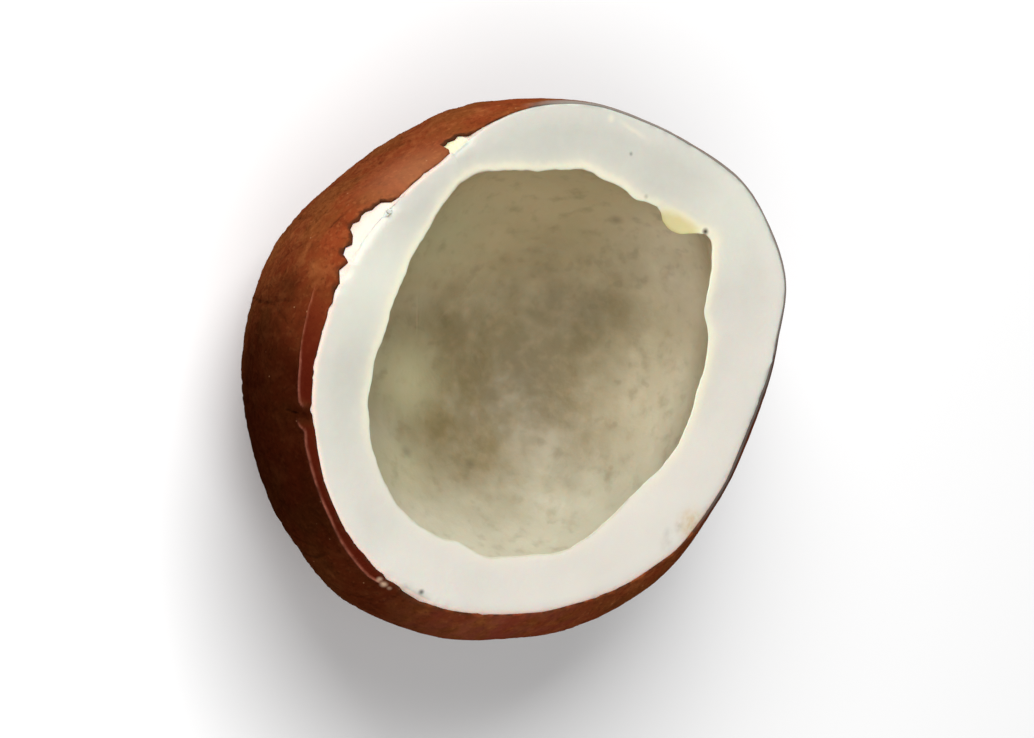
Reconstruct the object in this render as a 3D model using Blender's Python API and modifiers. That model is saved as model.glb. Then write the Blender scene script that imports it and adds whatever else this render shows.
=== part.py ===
"""Half of a dried coconut kernel: a thick white bowl of flesh in a thin brown skin, with an open hollow.

Metres, +Z up. The half lies on its round back with the cut face up and level. The origin is the
middle of the small flat spot that it rests on. Angles are in degrees round +Z, from +X.
"""

import math

import bmesh
import bpy
from mathutils import Vector, noise

# Overall size
DEPTH = 0.0560            # from the cut face to the roundest part of the back
FLAT_LIFT = 0.0010        # how much of the back the flat spot takes off
RIM_RADIUS = 0.0488       # mean radius of the cut face
POLE = (0.0035, -0.0010) # where the roundest part of the back lies, from the middle of the cut face

# The nut was cut askew, so on two sides the back swells out below the cut
BULGES = ((34, 75, 0.0090), (-84, 40, 0.0036))  # each (where, half width, how far out past the cut edge)
BELLY_DEPTH = 0.0130      # how far below the cut the largest bulge is widest
LARGEST_BULGE = 0.0090
ROUND_RADIUS = 0.0506     # the back's radius where it no longer shows the cut edge's waves

# Flesh and hollow
MOUTH_RADIUS = 0.0361     # mean radius of the hollow at the cut face
WALL = 0.0120             # thickness of the flesh below the cut
FLOOR = 0.0122            # thickness of the flesh at the bottom
SKIN = 0.0008             # thickness of the brown skin

# Outlines: waves round the half, each (how many, size, where it is highest)
RIM_WAVES = ((2, 0.0031, -47), (3, 0.0004, -10), (4, 0.0008, 35), (5, 0.0008, -23))
RIM_DENT = (-132, 15, -0.0015)  # a flatter stretch of the cut edge (where, half width, how far outwards)
MOUTH_WAVES = ((1, 0.0018, -84), (2, 0.0017, -42), (3, 0.0008, -15), (4, 0.0015, 41))

# Corners and flakes of the hollow's broken edge: (where, half width, how far outwards)
MOUTH_BREAKS = (
    (131, 6, 0.0028), (114, 6, -0.0024), (155, 8, -0.0014), (-178, 6, 0.0010), (-161, 6, -0.0010),
    (-141, 6, 0.0015), (-122, 7, -0.0008), (-17, 5, -0.0008), (-5, 5, 0.0006),
)
BREAK_DEPTH = 0.0045      # the breaks run out this far down the hollow's wall

# Skin torn off beside the cut: (where, half width, how far down), and the raised crease below the cut
TORN_PATCHES = ((-112, 6, 0.0036), (-101, 5, 0.0020), (-139, 3, 0.0048))
TORN_SLOPE = 0.0008
CREASE_DEPTH = 0.0019
CREASE_HEIGHT = 0.0005
CREASE_WIDTH = 0.0010
CREASE_FROM, CREASE_TO, CREASE_END = -92, -26, 12  # where it starts and stops, and how softly

# Unevenness of the grown and cut surfaces
LUMP_SIZE = 0.016
OUTER_LUMPS = 0.0007
FLAT_FADE = 0.010         # the outside's lumps die out this far above the flat spot
HOLLOW_LUMPS = 0.0006
CUT_LUMPS = 0.0006
CUT_FADE = 0.010          # the cut face's waves die out this far below it
EDGE_ROUND = 0.0007
WORN_ANGLE = 50           # edges sharper than this are worn round
SHARP_ANGLE = 40          # and edges sharper than this aren't shaded smooth

# Mesh
AROUND = 104
ROUND_DEPTH = 0.0170      # below this the rings follow the round back
LOWER_STEPS = 11
HOLLOW_STEPS = 9
UPPER_DEPTHS = (0.0145, 0.0112, 0.0084, 0.0062, 0.0045, 0.0036, 0.0028, CREASE_DEPTH, 0.0011)
RIM_STEPS = 4
MOUTH_DEPTHS = (0.0016, 0.0040, 0.0075, 0.0120)

# Where each profile point lies through the wall, and the order of the materials
OUTSIDE, INSIDE = 0.0, 1.0
FLESH_SLOT, LINING_SLOT, SKIN_SLOT = 0, 1, 2


def waves_at(angle, waves):
    """The sum of a list of waves at an angle."""
    return sum(size * math.cos(count * (angle - math.radians(top))) for count, size, top in waves)


def bump_at(angle, middle, half_width):
    """A smooth bump of height 1 round an angle."""
    gap = (angle - math.radians(middle) + math.pi) % math.tau - math.pi
    return math.exp(-(gap / math.radians(half_width)) ** 2)


def lumps(point, size):
    """Slow lumps of a grown surface."""
    return size * noise.noise(point / LUMP_SIZE)


def ease(value):
    """Runs smoothly from 0 to 1."""
    value = min(1.0, max(0.0, value))
    return value * value * (3 - 2 * value)


def torn(angle, depth):
    """1 where the skin is torn off the outside, 0 where it is whole."""
    edge = max(reach * bump_at(angle, middle, width) for middle, width, reach in TORN_PATCHES)
    return ease((edge - depth) / TORN_SLOPE)


def crease(angle, depth):
    """The raised crease in the skin, which runs beside the cut for part of the way round."""
    turn = math.degrees(angle)
    along = ease((turn - CREASE_FROM) / CREASE_END) * ease((CREASE_TO - turn) / CREASE_END)
    return CREASE_HEIGHT * along * ease(1 - abs(depth - CREASE_DEPTH) / CREASE_WIDTH)


def bowl_point(angle, depth, full_depth, edge, bulge, round_radius):
    """A point of a bowl that swells out below its edge and closes, ever rounder, at its full depth."""
    widest = BELLY_DEPTH * math.sqrt(bulge / LARGEST_BULGE)
    if depth < widest:
        radius = edge + bulge * (1 - (1 - depth / widest) ** 2)
        growth = radius / edge
    else:
        fall = min(1.0, (depth - widest) / (full_depth - widest))
        radius = edge + bulge + (round_radius - edge - bulge) * ease(fall)
        growth = radius / edge * math.sqrt(1 - fall * fall)
    return Vector((
        growth * (edge * math.cos(angle) - POLE[0]),
        growth * (edge * math.sin(angle) - POLE[1]),
        -depth,
    ))


def outer_size(angle):
    """The cut edge's radius at an angle, and how far the back swells out below it."""
    middle, width, size = RIM_DENT
    edge = RIM_RADIUS + waves_at(angle, RIM_WAVES) + size * bump_at(angle, middle, width)
    bulge = sum(size * bump_at(angle, middle, width) for middle, width, size in BULGES)
    return edge, bulge


def outer_point(angle, depth):
    """A point of the outside, at a depth below the cut face."""
    point = bowl_point(angle, depth, DEPTH, *outer_size(angle), ROUND_RADIUS)
    outwards = Vector((math.cos(angle), math.sin(angle), 0))
    level = ease((DEPTH - FLAT_LIFT - depth) / FLAT_FADE)
    relief = lumps(point, OUTER_LUMPS) * level + crease(angle, depth) - SKIN * torn(angle, depth)
    return point + outwards * relief


def inner_point(angle, depth):
    """A point of the hollow's wall, at a depth below the cut face. It keeps the wall's thickness."""
    breaks = sum(size * bump_at(angle, middle, width) for middle, width, size in MOUTH_BREAKS)
    edge = MOUTH_RADIUS + waves_at(angle, MOUTH_WAVES)
    bulge = max(0.0, sum(outer_size(angle)) - WALL - edge)
    point = bowl_point(angle, depth, DEPTH - FLOOR, edge, bulge, ROUND_RADIUS - WALL)
    outwards = Vector((math.cos(angle), math.sin(angle), 0))
    return point + outwards * (lumps(point, HOLLOW_LUMPS) + breaks * ease(1 - depth / BREAK_DEPTH))


def lower_depths(full_depth, steps, first_turn):
    """Depths of even steps round the closed end of a bowl, from its bottom up."""
    turns = [first_turn + (math.pi / 2 - first_turn) * step / steps for step in range(steps + 1)]
    return [ROUND_DEPTH + (full_depth - ROUND_DEPTH) * math.cos(turn) for turn in turns]


def wall_profile():
    """The wall's section, from the bottom outside, over the rim, to the bottom of the hollow."""
    flat_turn = math.acos(1 - FLAT_LIFT / (DEPTH - ROUND_DEPTH))
    profile = [(OUTSIDE, DEPTH)]
    profile += [(OUTSIDE, depth) for depth in lower_depths(DEPTH, LOWER_STEPS, flat_turn)]
    profile += [(OUTSIDE, depth) for depth in UPPER_DEPTHS]
    profile += [(step / RIM_STEPS, 0.0) for step in range(RIM_STEPS + 1)]
    profile += [(INSIDE, depth) for depth in MOUTH_DEPTHS]
    profile += [(INSIDE, depth) for depth in reversed(lower_depths(DEPTH - FLOOR, HOLLOW_STEPS, 0.0))]
    return profile


def wall_point(angle, across, depth):
    """A point of the half's surface, in its own frame."""
    if across == OUTSIDE:
        point = outer_point(angle, depth)
    elif across == INSIDE:
        point = inner_point(angle, depth)
    else:
        point = outer_point(angle, 0.0).lerp(inner_point(angle, 0.0), across)
    point.z += lumps(point, CUT_LUMPS) * ease(1 - depth / CUT_FADE)
    point.z = max(0.0, point.z + DEPTH - FLAT_LIFT)
    return point


def material(name, colour, roughness):
    """A plain Principled material."""
    made = bpy.data.materials.new(name)
    made.use_nodes = True
    shader = made.node_tree.nodes["Principled BSDF"]
    shader.inputs["Base Color"].default_value = (*colour, 1)
    shader.inputs["Roughness"].default_value = roughness
    shader.inputs["Metallic"].default_value = 0.0
    return made


def kernel_mesh():
    """The closed shell: a sphere whose rings become the steps of the wall's section."""
    profile = wall_profile()
    last = len(profile) - 1
    mouth_step = profile.index((INSIDE, 0.0))
    rim_step = profile.index((OUTSIDE, 0.0))
    mesh = bpy.data.meshes.new("coconut_half")
    body = bmesh.new()
    bmesh.ops.create_uvsphere(body, u_segments=AROUND, v_segments=last, radius=1.0)
    places = {}
    for vertex in body.verts:
        step = round((0.5 + math.asin(max(-1.0, min(1.0, vertex.co.z))) / math.pi) * last)
        angle = 0.0 if step in (0, last) else math.atan2(vertex.co.y, vertex.co.x)
        places[vertex] = (step, angle)
    for vertex, (step, angle) in places.items():
        vertex.co = wall_point(angle, *profile[step])
    for face in body.faces:
        steps = [places[vertex][0] for vertex in face.verts]
        bare = sum(torn(places[vertex][1], profile[places[vertex][0]][1]) for vertex in face.verts)
        face.material_index = FLESH_SLOT
        if min(steps) >= mouth_step:
            face.material_index = LINING_SLOT
        elif max(steps) <= rim_step and bare < len(face.verts) / 2:
            face.material_index = SKIN_SLOT
    body.to_mesh(mesh)
    body.free()
    return mesh


def build_half(collection):
    """The half kernel, with its cut edges a little worn."""
    mesh = kernel_mesh()
    mesh.materials.append(material("flesh", (0.78, 0.74, 0.64), 0.55))
    mesh.materials.append(material("lining", (0.35, 0.31, 0.20), 0.60))
    mesh.materials.append(material("skin", (0.16, 0.045, 0.018), 0.50))
    mesh.shade_smooth()
    mesh.set_sharp_from_angle(angle=math.radians(SHARP_ANGLE))
    half = bpy.data.objects.new("coconut_half", mesh)
    collection.objects.link(half)
    worn = half.modifiers.new("worn edges", "BEVEL")
    worn.width = EDGE_ROUND
    worn.segments = 2
    worn.limit_method = "ANGLE"
    worn.angle_limit = math.radians(WORN_ANGLE)


def main():
    for old in list(bpy.data.objects):
        bpy.data.objects.remove(old, do_unlink=True)
    collection = bpy.data.collections.new("coconut")
    bpy.context.scene.collection.children.link(collection)
    build_half(collection)


main()
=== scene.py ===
"""Looks of a dried coconut half: thick white flesh, a lined hollow and a thin wrinkled brown skin.

Metres, +Z up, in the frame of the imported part. The half lies on its round back with the cut face
up. Angles are in degrees round +Z, from +X. The camera looks down on the cut face from the side.
"""

import math
import random

import bpy
import numpy as np
from mathutils import Matrix, Vector, bvhtree, kdtree, noise


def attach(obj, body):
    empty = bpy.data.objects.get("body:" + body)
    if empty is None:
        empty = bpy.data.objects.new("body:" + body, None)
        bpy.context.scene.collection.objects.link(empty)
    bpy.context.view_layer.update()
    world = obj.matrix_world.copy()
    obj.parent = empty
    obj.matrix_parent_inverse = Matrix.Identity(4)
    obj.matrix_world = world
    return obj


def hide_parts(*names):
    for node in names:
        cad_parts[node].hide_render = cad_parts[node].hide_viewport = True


NODE = "coconut_half"
MILLIMETRE = 0.001

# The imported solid: the middle and height of its cut face
CUT_MIDDLE = (-0.0035, 0.0010)
CUT_HEIGHT = 0.0550
CUT_NORMAL = 0.85         # a face that points up more than this, near the top, is on the cut
CUT_BAND = 0.0030
WALL_NORMAL = 0.6         # the outside's faces point up less than this, apart from those near the cut
WALL_BAND = 0.012
POLE_SHIFT = 0.0045       # its lowest part lies this far from under the cut's middle at most
MERGE_GAP = 1e-6
WITHIN = 0.999            # a vertex this sure of its zone has no face outside it

# Its torn patches beside the cut (where, half width, how far down), how steep and how deep they are
TORN_PATCHES = ((-112, 6, 0.0036), (-101, 5, 0.0020), (-139, 3, 0.0048))
TORN_SLOPE = 0.0008
TORN_DEPTH = 0.0008

# Fine course of the cut's edges, as (angle, millimetres outwards), which fades out below the cut
RIM_COURSE = (
    (-180, -1.1), (-165, -1.3), (-153, -1.3), (-143, -0.5), (-130, -0.5), (-110, -0.6), (-98, -1.0),
    (-90, -1.0), (-80, -0.4), (-70, 0.1), (-55, -0.2), (-40, -0.4), (-25, -0.3), (-10, 0.0), (0, 0.7),
    (10, 0.8), (20, 0.2), (33, 1.1), (45, 0.5), (55, 1.0), (70, 1.5), (80, 0.9), (95, 0.8), (105, -0.4),
    (115, 0.3), (130, 0.2), (145, -0.4), (160, -0.8), (180, -1.1),
)
MOUTH_COURSE = (
    (-180, -0.4), (-172, -0.7), (-160, -0.8), (-155, -1.1), (-145, -1.4), (-139, -1.2), (-134, -0.3),
    (-125, -0.6), (-115, -0.9), (-105, -1.1), (-95, -0.7), (-88, -1.0), (-80, -0.1), (-65, 0.0), (-55, -0.5),
    (-47, -0.6), (-38, 0.2), (-25, 0.3), (-15, 0.7), (-9, 1.3), (2, 1.3), (10, 1.1), (17, 1.7), (25, 0.9),
    (34, 0.0), (40, -0.7), (47, -1.3), (54, -0.5), (62, 0.7), (72, 1.4), (81, 1.1), (90, 0.4), (103, -0.5),
    (112, -0.2), (120, -0.8), (128, -1.2), (134, 0.4), (145, 0.0), (155, -0.1), (160, -1.2), (168, -0.6),
    (180, -0.4),
)
COURSE_FADE = 0.012
RIM_COURSE_FADE = 0.026

# Skin
SKIN = 0.0006
THIN_SKIN = (150, 45, 0.7)  # where it is thinner at the cut, half width, and by which share
THIN_REACH = 0.0040       # and how far down that goes
SKIN_LEVELS = 3
SKIN_ROW = 0.0038         # the skin's rows of faces are split until they are less high than this
RISING = 0.5              # an edge that rises by more than this share of its length goes up a row
OUTGOING = 0.7            # and so does one that runs outwards by more than this share
SKIN_TRIANGLES = 160000
LINING_TRIANGLES = 14000  # of the skin's hidden side
EDGE_BAND = 0.014         # the skin moves down from the cut within this band, where it is torn

# The skin's torn edge, as (angle, millimetres below the cut), and the small teeth all round it
TORN_EDGE = (
    (-180, 0.0), (-150, 0.0), (-145.5, 0.3), (-143.6, 0.6), (-142.4, 2.5), (-140.0, 3.5), (-138.0, 4.6),
    (-137.6, 0.6), (-136.5, 0.2), (-122.0, 0.1), (-118.4, 0.4), (-117.2, 1.9), (-114.8, 2.3), (-113.0, 3.2),
    (-110.5, 2.7), (-108.4, 2.9), (-107.0, 1.9), (-105.2, 0.9), (-103.8, 1.5), (-102.2, 1.3), (-101.0, 0.2),
    (-99.6, 0.9), (-97.9, 0.8), (-96.0, 0.0), (-94.4, 0.4), (-93.0, 0.0), (-24.6, 0.0), (-23.0, 0.5),
    (-18.0, 0.5), (-14.0, 0.1), (180, 0.0),
)
TOOTH_SIZE = 0.0011
TEETH = 0.00022
RAGS = ((0.8, 0.18), (1.9, 0.28), (4.5, 0.40))  # its raggedness where torn: (size in teeth, share)
TORN_FULL = 0.0012        # where the skin's edge is this far down, it counts as fully torn
BARE_REACH = 0.0015       # and the flesh's cut as bare this far in
TORN_ROUND = 0.00080      # how much the flesh's corner is worn round there
TORN_ROUND_REACH = 1.3    # and over how many millimetres

# The raised crease beside the cut, as (angle, millimetres below the cut), and the sunk strip above it
CREASES = (
    ((-95, 3.7), (-89.4, 3.2), (-83.0, 2.6), (-78.0, 1.9), (-73.4, 1.7), (-70.7, 1.5), (-69.0, 0.8)),
    ((-67.6, 2.2), (-66.0, 1.7), (-64.6, 1.2), (-61.9, 1.3), (-53.5, 1.15), (-46.0, 1.05), (-40.7, 1.3),
     (-35.9, 1.3), (-31.0, 1.5), (-27.0, 1.1)),
)
CREASE_HEIGHT = 0.00022
CREASE_WIDTH = 0.00014
CREASE_START, CREASE_STOP = 3, 2    # over how many degrees it rises at one end and dies out at the other
STRIP_DEPTH = 0.00012
STRIP_GAP = 0.3           # of the crease's width, between the crease and the strip
STRIP_FROM, STRIP_GROWTH = -96, 14  # where the strip starts, and over how many degrees

# A short crack that runs down across the crease
CRACK_TURN = -67.8
CRACK_SLANT = 0.25
CRACK_REACH = 0.0060
CRACK_WIDTH = 0.00022
CRACK_DEPTH = 0.00030

# Veins of the back, which spread from one spot low on it
BACK_MIDDLE = (0.0, 0.0, 0.032)
BODY_RADIUS = 0.050
VEIN_SPOT = (0.30, -0.45, -0.84)
VEIN_COUNT = 9
VEIN_UNEVEN = 0.25        # how uneven their directions are, as a share of the angle between two
VEIN_START = (0.03, 0.10)  # how far from the spot they start, as a share of the back's radius
VEIN_SIZES = (0.7, 1.0)
VEIN_STEP = 0.0005
VEIN_LENGTH = 0.085       # the same for all, apart from branches
VEIN_WIDTH = 0.00060
VEIN_DEPTH = 0.00034
VEIN_THIN = 0.6           # the finest vein's width, as a share of that
VEIN_BANK = 0.00018       # its raised sides
VEIN_BANK_GAP = 2.1       # how many widths from its middle they lie
VEIN_END = 5              # and how many widths from there its relief ends
VEIN_CALM = 0.0022        # wrinkles are weaker within this distance of a vein
VEIN_CLEARS = 0.7         # by this share
VEIN_FADE = 0.009         # veins die out this near the cut
VEIN_TAPER, VEIN_TIP = 1.4, 0.15  # how a vein gets finer along its way, and how fine it ends
SWAY_RATE, SWAY = 120, 0.05       # how often it sways in a metre, and how much
VEIN_SPREAD = 0.006       # how much each step turns it away from the spot

# Branches: how far to a vein's first one and on to each next one, and the angle, in degrees
FIRST_BRANCH = (0.010, 0.020)
NEXT_BRANCH = (0.012, 0.024)
BRANCH_TURN = (22, 42)
BRANCH_LENGTH = 0.8       # its length and size, as shares of what is left of its vein
BRANCH_SIZE = 0.7
BRANCH_LEAST = 0.45       # a vein finer than this has none
BRANCH_KICK = 0.35        # its vein turns the other way by this share of the angle

# Wrinkles of the skin, each (size, height). They run round the back more than up it
WRINKLE_SIZES = ((0.0046, 0.00020), (0.0025, 0.00010))
WRINKLE_STRETCH = 1.7
WRINKLE_SHARPNESS = 3.2
WRINKLE_BENDS = (0.6, 0.5)  # how often they bend, for their size, and how much
WRINKLE_GAPS = (0.0050, 1.6)  # the size and strength of the noise that breaks them off
WRINKLE_WHOLE = 0.75      # the higher this is, the fewer gaps there are
CALM_BAND = 0.022         # they are weaker this near the cut
CALM_LEAST = 0.15         # and this weak at it
SWELLS = (0.0120, 0.00015)
SWELL_FADE = 0.010
FLAT_FADE = 0.0012        # relief fades out this far above the floor

# Flesh
FLESH_LEVELS = 3
FLESH_TRIANGLES = 185000
HIDDEN_TRIANGLES = 24000  # of the flesh under the skin
HIDDEN_FROM = 0.0090      # and how far below the cut that starts
HIDDEN_SURE = 0.99        # a vertex this sure to be outside may be hidden
NICK_SIZE = 0.0015
NICKS = 0.00015
NICK_REACH = 1.1          # in millimetres from the hollow's edge
CUT_WAVES = ((0.0070, 0.00010), (0.0012, 0.00002))
LINING_LUMPS = ((0.0075, 0.00035), (0.0026, 0.00012))
LUMPS_FULL = 4            # how many millimetres below the hollow's edge the lumps reach their full height

# A thin flap of the lining, which sticks out over the hollow: (angle, millimetres from the cut's middle)
LIP = (
    (134.4, 41.0), (135.4, 39.9), (136.4, 38.8), (137.4, 37.6), (138.5, 36.5), (139.7, 35.6), (141.0, 35.0),
    (142.4, 34.6), (143.8, 34.4), (145.2, 34.4), (146.6, 34.5), (148.0, 34.7), (149.4, 34.9), (151.0, 35.1),
    (153.0, 35.3), (156.0, 36.0),
)
NO_LIP = 1.0              # in metres, its edge at all other angles, so far out that nothing is drawn
LIP_THICKNESS = 0.5       # in millimetres, as the next two
LIP_TAPER = 0.7           # over which it runs out underneath
LIP_ROOT = 2.4            # how far back on the cut it starts
LIP_DROOP = 0.30          # how much it goes down on its way out
LIP_REACH = 3.0           # how many millimetres out its colour is full

# Camera, as in the photo
CAMERA_ELEVATION = 57
CAMERA_ROLL = 102
CAMERA_DISTANCE = 1.0
LENS = 190
AIM = (0.0, -0.00347, 0.0521)

# Stage: each light's name, direction, distance, size and power
LIGHTS = (("key", (-0.55, -0.45, 0.72), 1.3, 0.8, 21), ("fill", (0.35, -0.35, 0.87), 1.6, 1.2, 12))
ROOM_LIGHT = 0.12
FLOOR_SIZE = 12
FLOOR_COLOUR = (0.9, 0.9, 0.9, 1)


def ease(value):
    """Runs smoothly from 0 to 1."""
    value = np.clip(value, 0.0, 1.0)
    return value * value * (3 - 2 * value)


def bump_at(turn, where, half_width):
    """A smooth bump of height 1 round an angle."""
    gap = (turn - math.radians(where) + math.pi) % math.tau - math.pi
    return np.exp(-(gap / math.radians(half_width)) ** 2)


# Handling of pieces

def pick(piece):
    """Makes one piece the only selected and active one, in object mode."""
    if bpy.context.mode != "OBJECT":
        bpy.ops.object.mode_set(mode="OBJECT")
    bpy.ops.object.select_all(action="DESELECT")
    piece.select_set(True)
    bpy.context.view_layer.objects.active = piece


def apply_modifier(piece, kind, **settings):
    """Adds a modifier with its settings and applies it."""
    pick(piece)
    modifier = piece.modifiers.new(kind.lower(), kind)
    for name, value in settings.items():
        setattr(modifier, name, value)
    bpy.ops.object.modifier_apply(modifier=modifier.name)


def duplicate(piece, name):
    """A copy of a piece, with its own mesh."""
    pick(piece)
    bpy.ops.object.duplicate()
    copy = bpy.context.object
    copy.name = name
    copy.data.name = name
    return copy


def triangles(piece):
    """How many triangles a piece has."""
    return sum(len(face.vertices) - 2 for face in piece.data.polygons)


def thin_out(piece, count, group=""):
    """Takes a piece down to about a count of triangles, where a vertex group lets it."""
    if triangles(piece) <= count:
        return
    apply_modifier(piece, "DECIMATE", ratio=count / triangles(piece), vertex_group=group)


def refine(piece, levels):
    """Divides a piece's faces smoothly, this many times over."""
    apply_modifier(piece, "SUBSURF", levels=levels, render_levels=levels)


def places(piece):
    """Every vertex's place, as rows."""
    found = np.empty(len(piece.data.vertices) * 3)
    piece.data.vertices.foreach_get("co", found)
    return found.reshape(-1, 3)


def directions(piece):
    """Every vertex's normal, as rows."""
    found = np.empty(len(piece.data.vertices) * 3, dtype=np.float32)
    piece.data.vertex_normals.foreach_get("vector", found)
    return found.reshape(-1, 3).astype(float)


def move_to(piece, rows):
    """Sets every vertex's place."""
    piece.data.vertices.foreach_set("co", rows.ravel())
    piece.data.update()


def note(piece, name, values):
    """Keeps one number a vertex on the piece."""
    attribute = piece.data.attributes.new(name, "FLOAT", "POINT")
    attribute.data.foreach_set("value", np.asarray(values, dtype=np.float32))


def noted(piece, name):
    """Reads one number a vertex back."""
    values = np.empty(len(piece.data.vertices), dtype=np.float32)
    piece.data.attributes[name].data.foreach_get("value", values)
    return values.astype(float)


def group_of(piece, name, members):
    """A vertex group of the vertices that a row of yes and no picks."""
    group = piece.vertex_groups.new(name=name)
    group.add(np.nonzero(members)[0].tolist(), 1.0, "REPLACE")
    return name


def keep_faces(piece, kept):
    """Deletes all but some faces in edit mode."""
    pick(piece)
    bpy.ops.object.mode_set(mode="EDIT")
    bpy.ops.mesh.select_mode(type="FACE")
    bpy.ops.mesh.select_all(action="DESELECT")
    bpy.ops.object.mode_set(mode="OBJECT")
    piece.data.polygons.foreach_set("select", ~kept)
    bpy.ops.object.mode_set(mode="EDIT")
    bpy.ops.mesh.delete(type="FACE")
    bpy.ops.object.mode_set(mode="OBJECT")


def grain(rows, size, height):
    """Soft lumps of a size, up to a height, at each place."""
    return np.array([noise.noise(Vector(row) / size) for row in rows]) * height


def ridges(rows, size, height):
    """Winding wrinkles: narrow raised lines, with wide hollows between them."""
    found = np.empty(len(rows))
    rate, bend = WRINKLE_BENDS
    for index, row in enumerate(rows):
        spot = Vector(row) / size
        spot += noise.noise_vector(spot * rate) * bend
        found[index] = 1 - min(1.0, abs(noise.noise(spot)) * WRINKLE_SHARPNESS)
    return found ** 2 * height


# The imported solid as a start

def turn_and_depth(rows):
    """Each place's angle round the cut face's middle, distance from there and depth below the cut."""
    across = rows[:, 0] - CUT_MIDDLE[0]
    along = rows[:, 1] - CUT_MIDDLE[1]
    return np.arctan2(along, across), np.hypot(across, along), CUT_HEIGHT - rows[:, 2]


def face_zones(piece):
    """Which faces are on the outside, and which on the cut face. The rest line the hollow."""
    normals = np.empty(len(piece.data.polygons) * 3, dtype=np.float32)
    middles = np.empty(len(piece.data.polygons) * 3, dtype=np.float32)
    piece.data.polygons.foreach_get("normal", normals)
    piece.data.polygons.foreach_get("center", middles)
    normals = normals.reshape(-1, 3)
    middles = middles.reshape(-1, 3)
    cut = (normals[:, 2] > CUT_NORMAL) & (middles[:, 2] > CUT_HEIGHT - CUT_BAND)
    away = ((middles[:, :2] - CUT_MIDDLE) * normals[:, :2]).sum(axis=1)
    underneath = (normals[:, 2] < 0) & (away > -POLE_SHIFT)
    wall = (away > 0) & ((normals[:, 2] < WALL_NORMAL) | (middles[:, 2] > CUT_HEIGHT - WALL_BAND))
    return ~cut & (underneath | wall), cut


def note_zones(cage):
    """Keeps on the cage which vertices touch the outside, the cut face and the hollow."""
    outside, cut = face_zones(cage)
    touches = {"outside": outside, "cut": cut, "hollow": ~outside & ~cut}
    for name, zone in touches.items():
        touched = np.zeros(len(cage.data.vertices))
        for face in cage.data.polygons:
            if zone[face.index]:
                touched[list(face.vertices)] = 1.0
        note(cage, name, touched)


def even_wall(cage):
    """Fills the torn patches up to the level of the skin round them."""
    rows = places(cage)
    turn, radius, depth = turn_and_depth(rows)
    edge = np.max([reach * bump_at(turn, where, width) for where, width, reach in TORN_PATCHES], axis=0)
    filled = TORN_DEPTH * ease((edge - depth) / TORN_SLOPE) * noted(cage, "outside")
    rows[:, 0] += np.cos(turn) * filled
    rows[:, 1] += np.sin(turn) * filled
    move_to(cage, rows)


def make_cage():
    """What both pieces start from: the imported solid's mesh, its loose triangles merged and paired."""
    cage = bpy.data.objects.new("cage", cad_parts[NODE].data.copy())
    bpy.context.scene.collection.objects.link(cage)
    cage.data.materials.clear()
    pick(cage)
    bpy.ops.mesh.customdata_custom_splitnormals_clear()
    bpy.ops.object.mode_set(mode="EDIT")
    bpy.ops.mesh.select_all(action="SELECT")
    bpy.ops.mesh.remove_doubles(threshold=MERGE_GAP)
    bpy.ops.mesh.tris_convert_to_quads(face_threshold=math.pi, shape_threshold=math.pi)
    bpy.ops.object.mode_set(mode="OBJECT")
    bpy.ops.object.shade_smooth()
    note_zones(cage)
    even_wall(cage)
    return cage


class CutLine:
    """The cut face's inner or outer edge: its distance from the middle and its height, by angle."""

    def __init__(self, cage, side):
        on_line = (noted(cage, "cut") > 0.5) & (noted(cage, side) > 0.5)
        rows = places(cage)[on_line]
        turn, radius, depth = turn_and_depth(rows)
        order = np.argsort(turn)
        self.turn = turn[order]
        self.radius = radius[order]
        self.height = rows[order, 2]

    def radius_at(self, turn):
        """The edge's distance from the cut face's middle at an angle."""
        return np.interp(turn, self.turn, self.radius, period=math.tau)

    def height_at(self, turn):
        """The edge's height at an angle."""
        return np.interp(turn, self.turn, self.height, period=math.tau)


def follow_course(cage, mouth, rim):
    """Moves the cut's two edges in and out to their fine course."""
    rows = places(cage)
    turn, radius, depth = turn_and_depth(rows)
    degrees = np.degrees(turn)
    rim_move = np.interp(degrees, *zip(*RIM_COURSE))
    mouth_move = np.interp(degrees, *zip(*MOUTH_COURSE))
    inner, outer = mouth.radius_at(turn), rim.radius_at(turn)
    across = np.clip((radius - inner) / (outer - inner), 0.0, 1.0)
    across = np.where(noted(cage, "hollow") > WITHIN, 0.0, across)
    across = np.where(noted(cage, "outside") > WITHIN, 1.0, across)
    fade = np.where(rim_move > 0, COURSE_FADE, RIM_COURSE_FADE)
    moved = rim_move * across * ease(1 - depth / fade)
    moved += mouth_move * (1 - across) * ease(1 - depth / COURSE_FADE)
    moved *= MILLIMETRE
    rows[:, 0] += np.cos(turn) * moved
    rows[:, 1] += np.sin(turn) * moved
    move_to(cage, rows)


def torn_down(turn):
    """How far below the cut the skin's edge lies, at each angle."""
    angles = [angle for angle, fall in TORN_EDGE]
    falls = [fall * MILLIMETRE for angle, fall in TORN_EDGE]
    edge = np.interp(np.degrees(turn), angles, falls)
    round_rim = np.stack([np.cos(turn), np.sin(turn), np.zeros(len(turn))], axis=1) * BODY_RADIUS
    teeth = grain(round_rim, TOOTH_SIZE, TEETH) + grain(round_rim, TOOTH_SIZE * 3, TEETH)
    rags = sum(grain(round_rim, TOOTH_SIZE * size, share) for size, share in RAGS)
    return edge * (1 + rags) + np.maximum(0.0, teeth)


def skin_share(turn, below):
    """The skin's thickness as a share of its usual one. It is thinner beside the cut on one side."""
    where, width, less = THIN_SKIN
    return 1 - less * bump_at(turn, where, width) * ease(1 - below / THIN_REACH)


# Flesh

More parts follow.
